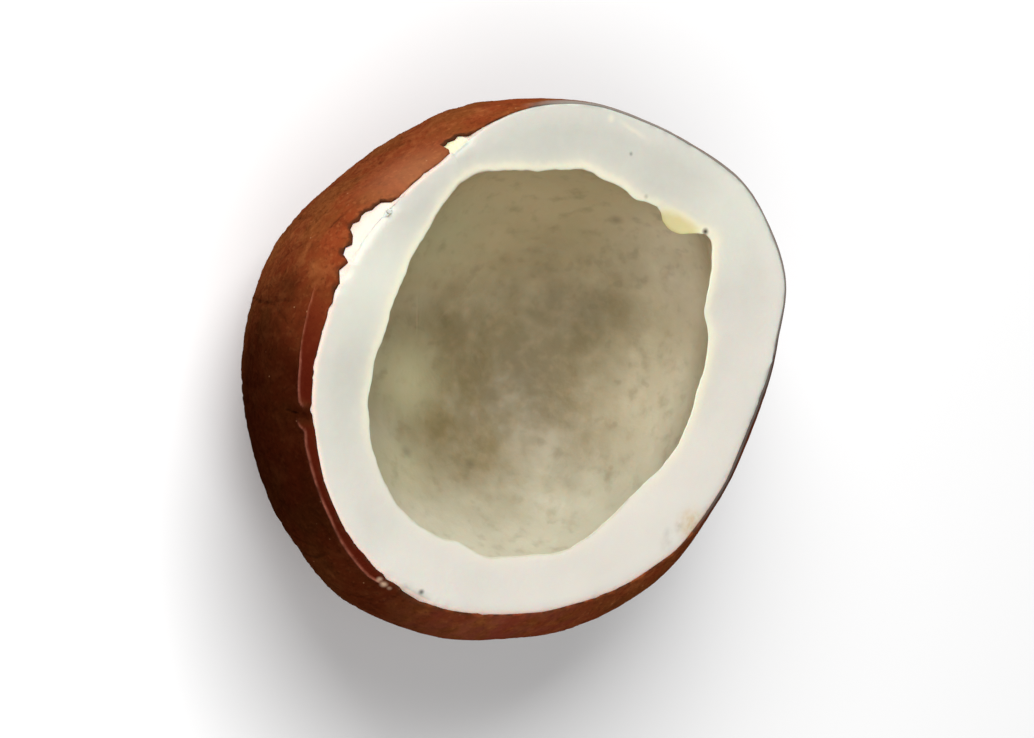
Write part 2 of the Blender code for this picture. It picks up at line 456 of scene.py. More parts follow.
def sink_under_skin(flesh, rim):
    """Draws the flesh's outside in by the thickness of the skin."""
    rows = places(flesh)
    turn, radius, depth = turn_and_depth(rows)
    share = skin_share(turn, rim.height_at(turn) - rows[:, 2])
    inwards = -directions(flesh)
    inwards[:, 2] = np.maximum(inwards[:, 2], 0.0)
    move_to(flesh, rows + inwards * (SKIN * share * noted(flesh, "outside"))[:, None])


def note_distances(flesh, mouth, rim):
    """Keeps each vertex's way to the hollow's edge and to the skin, in millimetres along the surface."""
    rows = places(flesh)
    turn, radius, depth = turn_and_depth(rows)
    in_hollow = noted(flesh, "hollow") > WITHIN
    on_outside = noted(flesh, "outside") > WITHIN
    below_mouth = mouth.height_at(turn) - rows[:, 2]
    below_rim = rim.height_at(turn) - rows[:, 2]
    past_mouth = radius - mouth.radius_at(turn)
    within_rim = rim.radius_at(turn) - radius
    from_mouth = np.where(in_hollow, -np.maximum(below_mouth, 0), np.maximum(past_mouth, 0))
    from_rim = np.where(on_outside, -np.maximum(below_rim, 0), np.maximum(within_rim, 0))
    note(flesh, "from_mouth", from_mouth / MILLIMETRE)
    note(flesh, "from_skin", (from_rim + torn_down(turn)) / MILLIMETRE)
    note(flesh, "bare", ease(torn_down(turn) / TORN_FULL) * ease(1 - from_rim / BARE_REACH))


def roughen_flesh(flesh):
    """Nicks along the hollow's edge, faint waves on the cut and soft lumps in the hollow."""
    rows = places(flesh)
    normals = directions(flesh)
    from_mouth = noted(flesh, "from_mouth")
    hollow = noted(flesh, "hollow")
    outside = noted(flesh, "outside")
    turn, radius, depth = turn_and_depth(rows)
    waves = sum(grain(rows, size, tall) for size, tall in CUT_WAVES) * (1 - hollow)
    lumps = sum(grain(rows, size, tall) for size, tall in LINING_LUMPS) * hollow
    rows += normals * (waves + lumps * ease(-from_mouth / LUMPS_FULL))[:, None]
    from_rim = noted(flesh, "from_skin") - torn_down(turn) / MILLIMETRE
    bare = ease(torn_down(turn) / TORN_FULL)
    rows -= normals * (TORN_ROUND * bare * np.exp(-(from_rim / TORN_ROUND_REACH) ** 2))[:, None]
    near = np.exp(-(from_mouth / NICK_REACH) ** 2) * (1 - outside)
    nicks = (grain(rows, NICK_SIZE, NICKS) + grain(rows, NICK_SIZE * 3, NICKS * 2)) * near
    rows[:, 0] += np.cos(turn) * nicks
    rows[:, 1] += np.sin(turn) * nicks
    rows[:, 2] = np.maximum(rows[:, 2], SKIN * outside * (depth > EDGE_BAND))
    move_to(flesh, rows)


def grow_lip(flesh, mouth):
    """Draws a thin flap out of the hollow's edge, over the hollow."""
    rows = places(flesh)
    turn, radius, depth = turn_and_depth(rows)
    from_mouth = noted(flesh, "from_mouth")
    angles = [angle for angle, reach in LIP]
    reaches = [reach * MILLIMETRE for angle, reach in LIP]
    edge = np.interp(np.degrees(turn), angles, reaches, left=NO_LIP, right=NO_LIP)
    out = np.maximum(0.0, mouth.radius_at(turn) - edge)
    above = ease(1 - from_mouth / LIP_ROOT)
    under = ease((LIP_THICKNESS + LIP_TAPER + from_mouth) / LIP_TAPER)
    out *= np.where(from_mouth > 0, above, under)
    rows[:, 0] -= np.cos(turn) * out
    rows[:, 1] -= np.sin(turn) * out
    rows[:, 2] -= out * LIP_DROOP
    move_to(flesh, rows)
    note(flesh, "lip", np.minimum(out / MILLIMETRE / LIP_REACH, 1))


def make_flesh(cage, mouth, rim):
    """The white flesh, closed all round, with its cut face and its lined hollow."""
    flesh = duplicate(cage, "flesh")
    refine(flesh, FLESH_LEVELS)
    note_distances(flesh, mouth, rim)
    sink_under_skin(flesh, rim)
    roughen_flesh(flesh)
    grow_lip(flesh, mouth)
    turn, radius, depth = turn_and_depth(places(flesh))
    hidden = (noted(flesh, "outside") > HIDDEN_SURE) & (depth > HIDDEN_FROM)
    under = group_of(flesh, "under the skin", hidden)
    share = hidden.mean()
    thin_out(flesh, triangles(flesh) * (1 - share) + HIDDEN_TRIANGLES, under)
    thin_out(flesh, FLESH_TRIANGLES)
    flesh.vertex_groups.clear()
    rows = places(flesh)
    rows[:, 2] = np.maximum(rows[:, 2], SKIN)
    move_to(flesh, rows)
    finish_piece(flesh, flesh_finish())
    return flesh


# Skin

def split_rows(skin):
    """Splits the skin's high rows of faces, so that its relief is as fine up the back as round it."""
    while True:
        pick(skin)
        bpy.ops.object.mode_set(mode="EDIT")
        bpy.ops.mesh.select_mode(type="EDGE")
        bpy.ops.mesh.select_all(action="DESELECT")
        bpy.ops.object.mode_set(mode="OBJECT")
        rows = places(skin)
        high = 0
        for edge in skin.data.edges:
            first, last = rows[list(edge.vertices)]
            run = last - first
            away = (first + last)[:2] / 2
            outwards = abs(run[:2] @ away) / max(np.linalg.norm(away), MERGE_GAP)
            length = np.linalg.norm(run)
            upwards = abs(run[2]) > RISING * length or outwards > OUTGOING * length
            edge.select = length > SKIN_ROW and upwards
            high += edge.select
        if not high:
            return
        bpy.ops.object.mode_set(mode="EDIT")
        bpy.ops.mesh.subdivide(number_cuts=1, smoothness=1.0)
        bpy.ops.object.mode_set(mode="OBJECT")


def tear_edge(skin, rim):
    """Moves the skin down from the cut where it is torn, along the wall, with small teeth all round."""
    wall = bvhtree.BVHTree.FromPolygons([vertex.co.copy() for vertex in skin.data.vertices],
                                        [list(face.vertices) for face in skin.data.polygons])
    rows = places(skin)
    turn, radius, depth = turn_and_depth(rows)
    below = np.maximum(rim.height_at(turn) - rows[:, 2], 0.0)
    fall = torn_down(turn) * np.clip(1 - below / EDGE_BAND, 0.0, 1.0)
    for index in np.nonzero(fall > MERGE_GAP)[0]:
        start = Vector((*CUT_MIDDLE, rows[index, 2] - fall[index]))
        outwards = Vector((math.cos(turn[index]), math.sin(turn[index]), 0))
        place, normal, face, distance = wall.ray_cast(start, outwards)
        if place:
            rows[index] = place
    move_to(skin, rows)
    below = rim.height_at(turn) - rows[:, 2]
    note(skin, "below_cut", below / MILLIMETRE)
    note(skin, "below_edge", (below - torn_down(turn)) / MILLIMETRE)
    note(skin, "torn", ease(torn_down(turn) / TORN_FULL))
    on_edge = np.zeros(len(rows))
    uses = np.zeros(len(skin.data.edges), dtype=int)
    for loop in skin.data.loops:
        uses[loop.edge_index] += 1
    for edge in skin.data.edges:
        if uses[edge.index] == 1:
            on_edge[list(edge.vertices)] = 1
    note(skin, "torn_edge", on_edge)


def grow_vein(direction, heading, length, size, chance, samples):
    """Lets a vein wander over the back, leave its samples, and branch now and then."""
    step = VEIN_STEP / BODY_RADIUS
    spot = Vector(VEIN_SPOT).normalized()
    next_branch = chance.uniform(*FIRST_BRANCH)
    travelled = 0.0
    seed = chance.uniform(0, 100)
    while travelled < length:
        taper = min(1.0, VEIN_TAPER * (1 - travelled / length) + VEIN_TIP)
        samples.append((direction.copy(), size * taper))
        sway = noise.noise(Vector((seed, travelled * SWAY_RATE, 0))) * SWAY
        heading = Matrix.Rotation(sway, 3, direction) @ heading
        heading += (direction - spot) * VEIN_SPREAD
        direction = (direction + heading * step).normalized()
        heading = (heading - direction * heading.dot(direction)).normalized()
        travelled += VEIN_STEP
        if travelled > next_branch and size > BRANCH_LEAST:
            side = chance.choice((-1, 1)) * math.radians(chance.uniform(*BRANCH_TURN))
            branch = Matrix.Rotation(side, 3, direction) @ heading
            reach = (length - travelled) * BRANCH_LENGTH
            grow_vein(direction.copy(), branch, reach, size * BRANCH_SIZE, chance, samples)
            heading = Matrix.Rotation(-side * BRANCH_KICK, 3, direction) @ heading
            next_branch = travelled + chance.uniform(*NEXT_BRANCH)


def vein_relief(rows):
    """Height of the veins' relief at each place, a groove between raised banks, and how near a vein is."""
    chance = random.Random(4)
    spot = Vector(VEIN_SPOT).normalized()
    side = spot.orthogonal().normalized()
    samples = []
    for count in range(VEIN_COUNT):
        angle = math.tau * (count + chance.uniform(-VEIN_UNEVEN, VEIN_UNEVEN)) / VEIN_COUNT
        heading = Matrix.Rotation(angle, 3, spot) @ side
        start = (spot + heading * chance.uniform(*VEIN_START)).normalized()
        grow_vein(start, heading, VEIN_LENGTH, chance.uniform(*VEIN_SIZES), chance, samples)
    tree = kdtree.KDTree(len(samples))
    for index, (direction, size) in enumerate(samples):
        tree.insert(direction * BODY_RADIUS, index)
    tree.balance()
    height = np.zeros(len(rows))
    near = np.zeros(len(rows))
    for index, row in enumerate(rows):
        direction = (Vector(row) - Vector(BACK_MIDDLE)).normalized() * BODY_RADIUS
        place, found, gap = tree.find(direction)
        size = samples[found][1]
        width = VEIN_WIDTH * (VEIN_THIN + (1 - VEIN_THIN) * size)
        near[index] = math.exp(-(gap / VEIN_CALM) ** 2) * min(1.0, size * 1.5)
        if gap < VEIN_END * width:
            groove = math.exp(-(gap / width) ** 2)
            bank = math.exp(-((gap - VEIN_BANK_GAP * width) / width) ** 2)
            height[index] = size * (VEIN_BANK * bank - VEIN_DEPTH * groove)
    return height, near


def crease_relief(turn, below):
    """How much each place is on the raised crease beside the cut, and on the strip between them."""
    degrees = np.degrees(turn)
    crease = np.zeros(len(turn))
    strip = np.zeros(len(turn))
    for line in CREASES:
        angles = [angle for angle, fall in line]
        falls = [fall * MILLIMETRE for angle, fall in line]
        course = np.interp(degrees, angles, falls)
        ends = ease((degrees - angles[0]) / CREASE_START) * ease((angles[-1] - degrees) / CREASE_STOP)
        crease = np.maximum(crease, ends * np.exp(-((below - course) / CREASE_WIDTH) ** 2))
        ends *= ease((degrees - STRIP_FROM) / STRIP_GROWTH)
        strip = np.maximum(strip, ends * ease((course - below) / CREASE_WIDTH - STRIP_GAP))
    return crease, strip


def crack_depth(turn, below):
    """How deep the short crack across the crease is at each place."""
    gap = (np.degrees(turn) - CRACK_TURN) * math.radians(1) * BODY_RADIUS + below * CRACK_SLANT
    return CRACK_DEPTH * np.exp(-(gap / CRACK_WIDTH) ** 2) * ease(1 - np.abs(below / CRACK_REACH - 0.5) * 2)


def stretched(rows):
    """Places for the wrinkles' noise, stretched from the back up to the cut."""
    away = rows - BACK_MIDDLE
    climb = np.arccos(np.clip(-away[:, 2] / np.linalg.norm(away, axis=1), -1, 1))
    return np.stack([rows[:, 0], rows[:, 1], WRINKLE_STRETCH * BODY_RADIUS * climb], axis=1)


def wrinkle_skin(skin):
    """Veins, wrinkles and the crease, as real relief. It is also kept for the skin's colour."""
    rows = places(skin)
    turn, radius, depth = turn_and_depth(rows)
    below = noted(skin, "below_cut") * MILLIMETRE
    veins, near = vein_relief(rows)
    spots = stretched(rows)
    wrinkles = sum(ridges(spots, size, tall) for size, tall in WRINKLE_SIZES)
    broken = ease(grain(spots, *WRINKLE_GAPS) + WRINKLE_WHOLE)
    calm = (CALM_LEAST + (1 - CALM_LEAST) * ease(below / CALM_BAND)) * broken * (1 - VEIN_CLEARS * near)
    relief = veins * ease(below / VEIN_FADE) + wrinkles * calm - crack_depth(turn, below)
    crease, strip = crease_relief(turn, below)
    swells = grain(rows, *SWELLS) * ease(below / SWELL_FADE)
    whole = relief + swells + crease * CREASE_HEIGHT - strip * STRIP_DEPTH
    raised = rows + directions(skin) * (whole * ease(rows[:, 2] / FLAT_FADE))[:, None]
    raised[:, 2] = np.maximum(raised[:, 2], 0.0)
    move_to(skin, raised)
    note(skin, "relief", relief / MILLIMETRE)
    note(skin, "crease", crease)
    note(skin, "strip", strip)


def make_skin(cage, rim):
    """The thin brown skin, torn beside the cut."""
    skin = duplicate(cage, "skin")
    outside, cut = face_zones(skin)
    keep_faces(skin, outside)
    split_rows(skin)
    refine(skin, SKIN_LEVELS)
    tear_edge(skin, rim)
    wrinkle_skin(skin)
    thin_out(skin, SKIN_TRIANGLES)
    outer = len(skin.data.vertices)
    outer_triangles = triangles(skin)
    turn, radius, depth = turn_and_depth(places(skin))
    share = skin_share(turn, noted(skin, "below_cut") * MILLIMETRE)
    thick = skin.vertex_groups.new(name="thickness")
    for index, weight in enumerate(share):
        thick.add([index], weight, "REPLACE")
    apply_modifier(skin, "SOLIDIFY", thickness=SKIN, offset=-1, vertex_group="thickness")
    hidden = np.arange(len(skin.data.vertices)) >= outer
    group = group_of(skin, "hidden side", hidden)
    thin_out(skin, outer_triangles + LINING_TRIANGLES, group)
    skin.vertex_groups.clear()
    finish_piece(skin, skin_finish())
    return skin


# Materials

def colour(red, green, blue):
    """A display colour from 0 to 255 as the linear colour that a shader takes."""
    parts = [value / 255 for value in (red, green, blue)]
    return tuple(part / 12.92 if part <= 0.04045 else ((part + 0.055) / 1.055) ** 2.4 for part in parts)


def opaque(shade):
    """A colour as a socket takes it. One that comes out of a node stays as it is."""
    return shade if isinstance(shade, Value) else (*shade, 1)


class Value:
    """A number in a material, so that sums on it are written as Python expressions."""

    def __init__(self, finish, socket):
        self.finish = finish
        self.socket = socket

    def sum(self, operation, *values):
        return self.finish.node("ShaderNodeMath", {"operation": operation}, dict(enumerate(values)))

    def __add__(self, other):
        return self.sum("ADD", self, other)

    def __sub__(self, other):
        return self.sum("SUBTRACT", self, other)

    def __rsub__(self, other):
        return self.sum("SUBTRACT", other, self)

    def __mul__(self, other):
        return self.sum("MULTIPLY", self, other)

    def __truediv__(self, other):
        return self.sum("DIVIDE", self, other)

    def __abs__(self):
        return self.sum("ABSOLUTE", self)

    def most(self, other):
        return self.sum("MAXIMUM", self, other)

    __radd__ = __add__
    __rmul__ = __mul__


class Finish:
    """A material, built up node by node on a Principled shader."""

    def __init__(self, name, constants):
        self.material = bpy.data.materials.new(name)
        self.material.use_nodes = True
        self.tree = self.material.node_tree
        self.shader = self.tree.nodes["Principled BSDF"]
        for socket, value in constants.items():
            self.shader.inputs[socket].default_value = value
        self.place = self.node("ShaderNodeTexCoord", {}, {}, "Object")

    def node(self, kind, settings, sockets, output=0):
        """Adds a node: its settings, then each socket's value or link. Gives one of its outputs."""
        made = self.tree.nodes.new(kind)
        for name, value in settings.items():
            setattr(made, name, value)
        for name, value in sockets.items():
            if isinstance(value, Value):
                self.tree.links.new(value.socket, made.inputs[name])
            else:
                made.inputs[name].default_value = value
        return Value(self, made.outputs[output])

    def noted(self, name):
        """A number that the piece keeps at its vertices."""
        return self.node("ShaderNodeAttribute", {"attribute_name": name}, {}, "Fac")

    def clouds(self, size, detail=3.0, distortion=0.0):
        """Soft noise round 0, from about -0.5 to 0.5, with patches of a size in millimetres."""
        sockets = {"Vector": self.place, "Scale": 1 / (size * MILLIMETRE), "Detail": detail,
                   "Distortion": distortion}
        return self.node("ShaderNodeTexNoise", {}, sockets) - 0.5

    def dots(self, apart, reach, share):
        """Round specks of a reach in millimetres, in a share of the cells that lie this far apart."""
        sockets = {"Vector": self.place, "Scale": 1 / (apart * MILLIMETRE)}
        gap = self.node("ShaderNodeTexVoronoi", {}, sockets, "Distance") * apart
        chance = self.node("ShaderNodeTexVoronoi", {}, sockets, "Color")
        red = self.node("ShaderNodeSeparateColor", {}, {"Color": chance}, "Red")
        return self.rise(gap, reach, reach * 0.3) * self.rise(red, 1 - share, 1.05 - share)

    def along(self, direction):
        """How far each place lies along a direction, in millimetres."""
        sockets = {0: self.place, 1: Vector(direction).normalized() / MILLIMETRE}
        return self.node("ShaderNodeVectorMath", {"operation": "DOT_PRODUCT"}, sockets, "Value")

    def rise(self, value, low, high):
        """Runs smoothly from 0 where the value is at low to 1 where it is at high."""
        sockets = {"Value": value, "From Min": low, "From Max": high}
        return self.node("ShaderNodeMapRange", {"interpolation_type": "SMOOTHSTEP"}, sockets)

    def gap(self, spot):
        """How far each place lies from a spot, both in millimetres."""
        sockets = {0: self.place, 1: tuple(part * MILLIMETRE for part in spot)}
        return self.node("ShaderNodeVectorMath", {"operation": "DISTANCE"}, sockets, "Value") / MILLIMETRE

    def near(self, spot, reach, strength):
        """Its strength at a spot in millimetres, falling to 0 at its reach."""
        return self.rise(self.gap(spot), reach, 0.0) * strength

    def mix(self, share, first, second, blend="MIX"):
        """One colour turning into another or, where the blend is MULTIPLY, into both multiplied."""
        settings = {"data_type": "RGBA", "blend_type": blend, "clamp_factor": True}
        return self.node("ShaderNodeMix", settings, {0: share, 6: opaque(first), 7: opaque(second)}, 2)

    def mottle(self, base, clouds, ends, strength, shade):
        """Turns a colour into another as clouds, given as (size, detail), run between two ends."""
        return self.mix(self.rise(self.clouds(*clouds), *ends) * strength, base, shade)

    def patches(self, base, marks, shade, share=1.0):
        """Turns a colour into another round each mark, given as (place, reach, strength)."""
        for mark in marks:
            base = self.mix(self.near(*mark) * share, base, shade)
        return base

    def feed(self, socket, value):
        """Links a value to a socket of the shader."""
        self.tree.links.new(value.socket, self.shader.inputs[socket])

    def bump(self, height):
        """Feeds a height in millimetres to the shader as fine relief."""
        sockets = {"Strength": 1.0, "Distance": MILLIMETRE, "Height": height}
        self.feed("Normal", self.node("ShaderNodeBump", {}, sockets))


RIM_COOL = colour(192, 191, 180)
RIM_WARM = colour(211, 206, 196)
RIM_PALE = colour(214, 211, 202)
RIM_BRIGHT = colour(222, 223, 208)
RIM_CREAM = colour(228, 221, 196)
RIM_BLUSH = colour(236, 208, 194)
RIM_TORN = colour(213, 202, 186)
RIM_GREY = colour(160, 156, 148)
RIM_WEDGE = colour(238, 222, 168)
RIM_STAIN = colour(196, 168, 116)
LINING_DEEP = colour(118, 104, 68)
LINING_BROWN = colour(188, 163, 126)
LINING_WARM = colour(198, 181, 142)
LINING_COOL = colour(195, 191, 170)
LINING_PAINTED_LIGHT = colour(244, 232, 206)
LINING_SAND = colour(214, 205, 180)
LINING_OLIVE = colour(189, 184, 147)
LINING_DARK = colour(98, 84, 50)
LIP_YELLOW = colour(208, 196, 140)
LIP_OCHRE = colour(176, 152, 98)
SPECK = colour(52, 40, 28)

# Marks on the flesh: (place in millimetres, reach, strength)
SPECKS = (
    ((-43.1, 9.3, 55.0), 0.6, 0.5), ((-32.3, 29.3, 54.8), 1.0, 1.0), ((-36.1, 14.5, 54.7), 0.8, 0.6),
    ((43.3, -15.6, 55.2), 0.9, 0.9), ((-19.8, -41.4, 54.6), 0.5, 0.5), ((-16.1, -43.5, 55.0), 0.7, 0.8),
    ((-17.7, -42.6, 54.8), 0.5, 0.6), ((-31.5, 24.6, 31.8), 2.0, 0.35), ((19.6, -1.0, 16.9), 1.8, 0.3),
    ((19.6, 12.4, 18.4), 1.5, 0.3),
)
STAIN = ((21.5, 39.5, 55.0), 4.5, 0.75)
GREY_SPOTS = (
    ((22.6, 37.0, 55.0), 1.6, 0.45), ((24.1, 34.9, 55.0), 1.6, 0.4), ((26.0, 35.0, 55.0), 2.4, 0.35),
)
BRIGHT_PATCHES = (((-11.0, -40.0, 55.0), 18, 0.45), ((-36.0, 34.0, 55.0), 16, 0.4))
SCRATCH = ((-47.6, 8.6, 55.0), 5.5, 0.45)
PALE_CHIP = ((-48.6, 3.4, 55.0), 1.2, 0.6)
WEDGE = ((-37.6, -27.8, 52.0), 4.5, 0.7)
DEEPEST = ((-2.0, 27.0, 20.0), (6.0, 12.0, 14.0))  # the lining's darkest places, in millimetres
OLIVE_PATCHES = (
    ((6.0, -2.5, 12.0), 14, 0.75), ((-22.0, -6.0, 18.0), 16, 0.8), ((22.0, -4.0, 19.0), 13, 0.45),
)
WALL_PATCH = ((2.0, 42.0, 38.0), 25, 0.6)
# painted light: a pale patch that lifts the shade in the hollow's corner under the overhanging edge
CORNER_PAINTED_LIGHT = ((-25.0, 40.0, 42.0), 27, 0.95)
DIM_PATCHES = (((3.0, 21.0, 16.0), 13, 0.6), ((-12.0, 27.0, 21.0), 9, 0.35))


def rim_colour(finish, mouth, edge, wander, lower):
    """The cut: greyer towards one side, cream along the hollow, pink and bare beside the skin."""
    warm = finish.rise(finish.along((0.8, 0.6, 0)) + finish.clouds(12) * 50, -32, 34)
    rim = finish.mix(warm, RIM_COOL, RIM_WARM)
    rim = finish.mix(finish.rise(edge + wander * 2, 5.5, 1.5) * 0.35, rim, RIM_PALE)
    rim = finish.mottle(rim, (2.4, 5), (-0.1, 0.25), 0.12, RIM_PALE)
    rim = finish.patches(rim, BRIGHT_PATCHES, RIM_BRIGHT)
    inner = mouth + wander
    cream = finish.rise(abs(inner - 0.5), 1.8, 0.2) * 0.4 + finish.rise(inner, 4.2, 0.0) * 0.4
    # Painted shade: on one side the cream along the hollow's edge is weaker, against the light that edge
    # catches
    rim = finish.mix(cream * (1 - lower * 0.75), rim, RIM_CREAM)
    scratch = finish.rise(abs(finish.along((0.953, -0.303, 0)) + wander * 0.7 + 47.9), 0.8, 0.0)
    rim = finish.mix(scratch * finish.near(*SCRATCH), rim, RIM_CREAM)
    rim = finish.mix(finish.near(*PALE_CHIP), rim, RIM_CREAM)
    far = finish.rise(finish.along((-0.84, 0.54, 0)), 12, 34)
    smudge = finish.rise(edge + wander, 1.2, 0.3) * finish.rise(finish.clouds(3, 3), -0.1, 0.15)
    rim = finish.mix(smudge * far * 0.45, rim, RIM_GREY)
    bare = finish.rise(finish.noted("bare") + wander * 0.3, 0.1, 0.6)
    rim = finish.mix(bare * 0.8, rim, RIM_TORN)
    rim = finish.mix(finish.rise(edge + wander * 0.6, 1.5, 0.1) * (1 - far) * 0.8, rim, RIM_BLUSH)
    patchy = finish.rise(finish.clouds(1.0, 3), -0.4, 0.3)
    rim = finish.mix(finish.near(*STAIN) * patchy, rim, RIM_STAIN)
    rim = finish.patches(rim, GREY_SPOTS, RIM_GREY, patchy)
    return finish.mix(finish.near(*WEDGE) * bare, rim, RIM_WEDGE)


def lining_colour(finish):
    """The hollow's lining: darkest low on one side, paler all round that, mottled with soft dark flecks."""
    first, second = (finish.gap(spot) for spot in DEEPEST)
    away = first.sum("SMOOTH_MIN", first, second, 8.0) + finish.clouds(10, 4) * 14
    side = finish.rise(finish.along((1, 0, 0)) + finish.clouds(10) * 20, -22, 14)
    pale = finish.mix(side, LINING_WARM, LINING_COOL)
    # Painted light: the corner under the overhanging edge is painted pale, against its shade
    pale = finish.mix(finish.near(*CORNER_PAINTED_LIGHT), pale, LINING_PAINTED_LIGHT)
    lining = finish.mix(finish.rise(away, 7, 38), LINING_DEEP, pale)
    lining = finish.mix(finish.near(*WALL_PATCH), lining, LINING_SAND)
    lining = finish.patches(lining, OLIVE_PATCHES, LINING_OLIVE)
    lining = finish.patches(lining, DIM_PATCHES, LINING_DARK)
    lining = finish.mottle(lining, (3.0, 5), (0.0, 0.3), 0.3, LINING_DARK)
    lining = finish.mottle(lining, (6.0, 2), (0.05, -0.35), 0.22, pale)
    lining = finish.mottle(lining, (2.2, 2), (-0.1, 0.3), 0.14, LINING_BROWN)
    flecks = finish.rise(finish.clouds(2.7, 1), 0.14, 0.24) * finish.rise(away, 36, 14)
    return finish.mix(flecks * 0.18, lining, LINING_DARK)


def flesh_finish():
    """White flesh on the cut, the hollow's mottled lining, the yellow flap and the marks on them."""
    finish = Finish("flesh", {"Subsurface Weight": 0.4, "Subsurface Scale": 0.003, "Roughness": 0.5,
                              "Specular IOR Level": 0.4})
    mouth = finish.noted("from_mouth")
    edge = finish.noted("from_skin")
    lip = finish.noted("lip")
    wander = finish.clouds(1.5) * 0.8
    # Painted shade: on this side the lining's colour reaches over the hollow's rounded edge, which catches
    # the light
    lower = finish.rise(finish.along((1, 0.1, 0)), 2, 26)
    lined = finish.rise(mouth + wander * 0.6 - lower * 0.6, 0.0, -0.5)
    rim = rim_colour(finish, mouth, edge, wander, lower)
    shade = finish.mix(lined, rim, lining_colour(finish))
    lip = lip + wander * 0.15
    shade = finish.mix(finish.rise(lip, 0.04, 0.3), shade, RIM_CREAM)
    shade = finish.mix(finish.rise(lip, 0.08, 0.6) * 0.9, shade, LIP_YELLOW)
    shade = finish.mix(finish.rise(mouth, 0.6, -0.3) * finish.rise(lip, 0.1, 0.4) * 0.6, shade, LIP_OCHRE)
    finish.feed("Base Color", finish.patches(shade, SPECKS, SPECK))
    finish.bump(finish.clouds(0.9, 4) * 0.05 + finish.clouds(3, 3) * lined * 0.12)
    return finish.material


SKIN_RED = colour(122, 54, 27)
SKIN_BROWN = colour(118, 62, 29)
SKIN_DARK = colour(50, 20, 9)
SKIN_TAN = colour(162, 96, 54)
SKIN_PINK = colour(166, 98, 80)
SKIN_STRIP = colour(92, 26, 14)
SKIN_PAINTED_LIGHT = colour(172, 112, 78)
SKIN_ROSE = colour(128, 58, 52)
SKIN_SPECK = colour(200, 150, 108)
SKIN_EDGE = colour(62, 36, 22)
SKIN_GREY = colour(138, 132, 124)
SKIN_SLATE = colour(82, 76, 71)
SKIN_CHIP = colour(216, 182, 152)
SKIN_PAINTED_SHADE = (0.08, 0.05, 0.05)  # painted shade: what the skin's colour is multiplied by on its darkest side

# Marks on the skin: (place in millimetres, reach, strength)
ROSE_PATCH = ((42.0, 4.0, 50.0), 30, 0.55)
# painted light: a paler patch on the skin near the cut, on the side the key light comes from
PAINTED_LIGHT_PATCH = ((-32.0, -36.0, 53.0), 15, 0.4)
CHIPS = (((42.5, -24.4, 54.3), 0.9, 0.8), ((43.3, -23.2, 54.1), 1.1, 0.9), ((43.9, -21.9, 54.2), 0.8, 0.7))


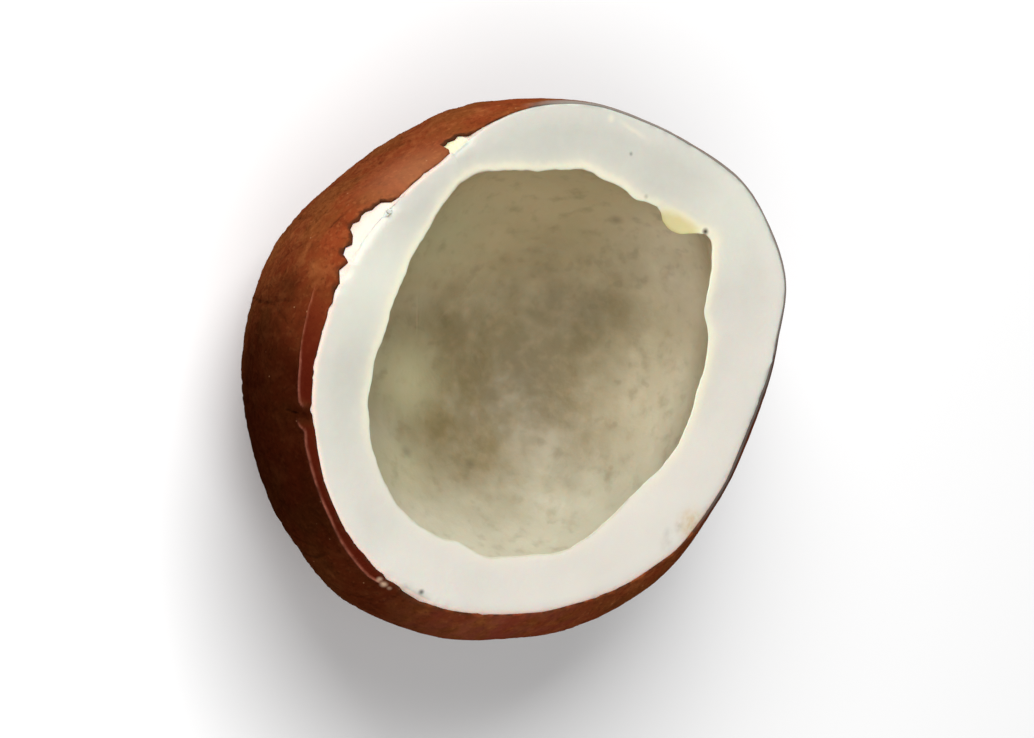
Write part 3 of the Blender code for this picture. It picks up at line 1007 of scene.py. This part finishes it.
def skin_finish():
    """Reddish-brown seed skin, with painted shade in its wrinkles and painted highlights on its ridges."""
    finish = Finish("skin", {"Specular IOR Level": 0.0})
    relief = finish.noted("relief")
    below = finish.noted("below_cut")
    base = finish.mix(finish.rise(finish.clouds(9, 4), -0.12, 0.12), SKIN_RED, SKIN_BROWN)
    base = finish.mottle(base, (2.6, 5), (-0.05, 0.3), 0.4, SKIN_DARK)
    base = finish.mottle(base, (4.2, 5), (0.0, 0.25), 0.4, SKIN_TAN)
    base = finish.mottle(base, (0.9, 3), (0.0, 0.25), 0.3, SKIN_TAN)
    base = finish.mottle(base, (0.8, 3), (0.02, 0.25), 0.35, SKIN_DARK)
    # Painted highlight: paler where the relief is raised
    base = finish.mix(finish.rise(relief + finish.clouds(0.7) * 0.1, 0.10, 0.28) * 0.45, base, SKIN_TAN)
    # Painted shade: darker where the relief is sunk, in wrinkles and vein grooves
    base = finish.mix(finish.rise(relief, -0.02, -0.25) * 0.75, base, SKIN_DARK)
    deep = finish.rise(below, 3, 22)
    crumple = finish.rise(abs(finish.clouds(2.8, 2, 0.8)), 0.10, 0.0) * deep
    # Painted highlight: the crumpled lines, raised by the bump below, are painted paler
    base = finish.mix(crumple * 0.3, base, SKIN_TAN)
    # Painted shade: the skin's colour darkens towards one side, less on the strip and towards +X
    painted_shade = finish.rise(finish.along((0.6, -0.8, 0)) + finish.clouds(12) * 12, 26, 48)
    base = finish.mix(deep * 0.35, base, SKIN_DARK)
    # Painted light: the skin is paler round one patch on the side the key light comes from
    base = finish.mix(finish.near(*PAINTED_LIGHT_PATCH), base, SKIN_PAINTED_LIGHT)
    strip = finish.noted("strip")
    base = finish.mix(strip * 0.85, base, SKIN_STRIP)
    turned = finish.rise(finish.along((1, 0, 0)), 32, 46) * 0.22
    # the painted shade is multiplied into the skin's colour here
    base = finish.mix(painted_shade * (0.92 - strip * 0.4 - turned), base, SKIN_PAINTED_SHADE, "MULTIPLY")
    # Painted highlight: the raised crease is painted paler, tan on one side and pink on the other
    ridge = finish.mix(finish.rise(finish.along((1, 0, 0)), -18, 6), SKIN_TAN, SKIN_PINK)
    base = finish.mix(finish.noted("crease") * (finish.clouds(3) * 1.8 + 0.4), base, ridge)
    base = finish.mix(finish.near(*ROSE_PATCH) * finish.rise(finish.clouds(3, 4), -0.2, 0.2), base, SKIN_ROSE)
    base = finish.mix(finish.dots(2.2, 0.24, 0.3) * 0.4, base, SKIN_SPECK)
    base = finish.patches(base, CHIPS, SKIN_CHIP)
    grey = finish.rise(finish.along((-0.61, 0.79, 0)), 15, 26)
    dust = finish.mix(finish.rise(finish.along((0.5, 0.87, 0)), 15, 45), SKIN_GREY, SKIN_SLATE)
    torn = finish.mix(grey, SKIN_EDGE, dust)
    dusty = finish.rise(below + finish.clouds(2.5, 4) * 3, 1.8, 0.4)
    base = finish.mix(grey * dusty * 0.8, base, dust)
    # Darker along the torn edge: partly the skin's own dark edge, partly painted shade beside it
    ragged = finish.rise(finish.noted("below_edge") + finish.clouds(0.9, 3) * 1.4, 1.0, 0.1)
    base = finish.mix(ragged * finish.noted("torn") * 0.8, base, SKIN_EDGE)
    rim_dark = finish.rise(finish.clouds(2.5, 2), -0.15, 0.1).most(grey * 0.8)
    base = finish.mix(finish.noted("torn_edge") * rim_dark * 0.85, base, torn)
    finish.feed("Base Color", base)
    finish.feed("Roughness", finish.clouds(2, 3) * 0.2 + 0.48)
    finish.bump(finish.clouds(0.9, 5) * 0.16 + crumple * 0.12)
    return finish.material


def finish_piece(piece, material):
    """Gives a piece its material and its place in the frame."""
    piece.data.materials.clear()
    piece.data.materials.append(material)
    pick(piece)
    bpy.ops.object.shade_smooth()
    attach(piece, "root")
    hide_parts(NODE)


# Stage

def make_floor():
    """A wide pale floor."""
    bpy.ops.object.select_all(action="DESELECT")
    bpy.ops.mesh.primitive_plane_add(size=FLOOR_SIZE, location=(0, 0, 0))
    floor = bpy.context.object
    floor.name = "floor"
    finish = Finish("floor", {"Roughness": 0.9, "Base Color": FLOOR_COLOUR, "Specular IOR Level": 0.2})
    floor.data.materials.append(finish.material)


def add_light(name, direction, distance, size, power):
    """A soft square light that shines on the half from a direction."""
    towards = Vector(direction).normalized()
    light = bpy.data.lights.new(name, "AREA")
    light.size = size
    light.energy = power
    lamp = bpy.data.objects.new(name, light)
    lamp.location = Vector(AIM) + towards * distance
    lamp.rotation_euler = towards.to_track_quat("Z", "Y").to_euler()
    bpy.context.scene.collection.objects.link(lamp)


def make_light():
    """One large soft key from the photo's upper side, a weak fill, and a pale room."""
    for light in LIGHTS:
        add_light(*light)
    world = bpy.data.worlds.new("room")
    world.use_nodes = True
    background = world.node_tree.nodes["Background"]
    background.inputs["Color"].default_value = (1, 1, 1, 1)
    background.inputs["Strength"].default_value = ROOM_LIGHT
    bpy.context.scene.world = world


def make_camera():
    """A camera at the photo's angle to the cut face, turned as in the photo."""
    camera = bpy.data.objects.new("camera", bpy.data.cameras.new("camera"))
    elevation = math.radians(CAMERA_ELEVATION)
    back = Vector((0, -math.cos(elevation), math.sin(elevation)))
    level = Vector((1, 0, 0))
    right = Matrix.Rotation(math.radians(CAMERA_ROLL), 3, back) @ level
    turned = Matrix((right, back.cross(right), back)).transposed().to_4x4()
    camera.matrix_world = Matrix.Translation(Vector(AIM) + back * CAMERA_DISTANCE) @ turned
    camera.data.lens = LENS
    bpy.context.scene.collection.objects.link(camera)
    bpy.context.scene.camera = camera


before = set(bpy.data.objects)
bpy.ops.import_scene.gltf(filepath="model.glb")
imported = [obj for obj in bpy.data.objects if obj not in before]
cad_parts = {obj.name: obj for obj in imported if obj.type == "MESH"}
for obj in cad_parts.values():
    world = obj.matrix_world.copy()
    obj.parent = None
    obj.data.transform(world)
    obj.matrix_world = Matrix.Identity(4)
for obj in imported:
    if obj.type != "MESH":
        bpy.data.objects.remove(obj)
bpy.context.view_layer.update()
cage = make_cage()
follow_course(cage, CutLine(cage, "hollow"), CutLine(cage, "outside"))
mouth_line = CutLine(cage, "hollow")
rim_line = CutLine(cage, "outside")
make_flesh(cage, mouth_line, rim_line)
make_skin(cage, rim_line)
bpy.data.objects.remove(cage)
make_floor()
make_light()
make_camera()
bpy.context.scene.view_settings.view_transform = "Standard"
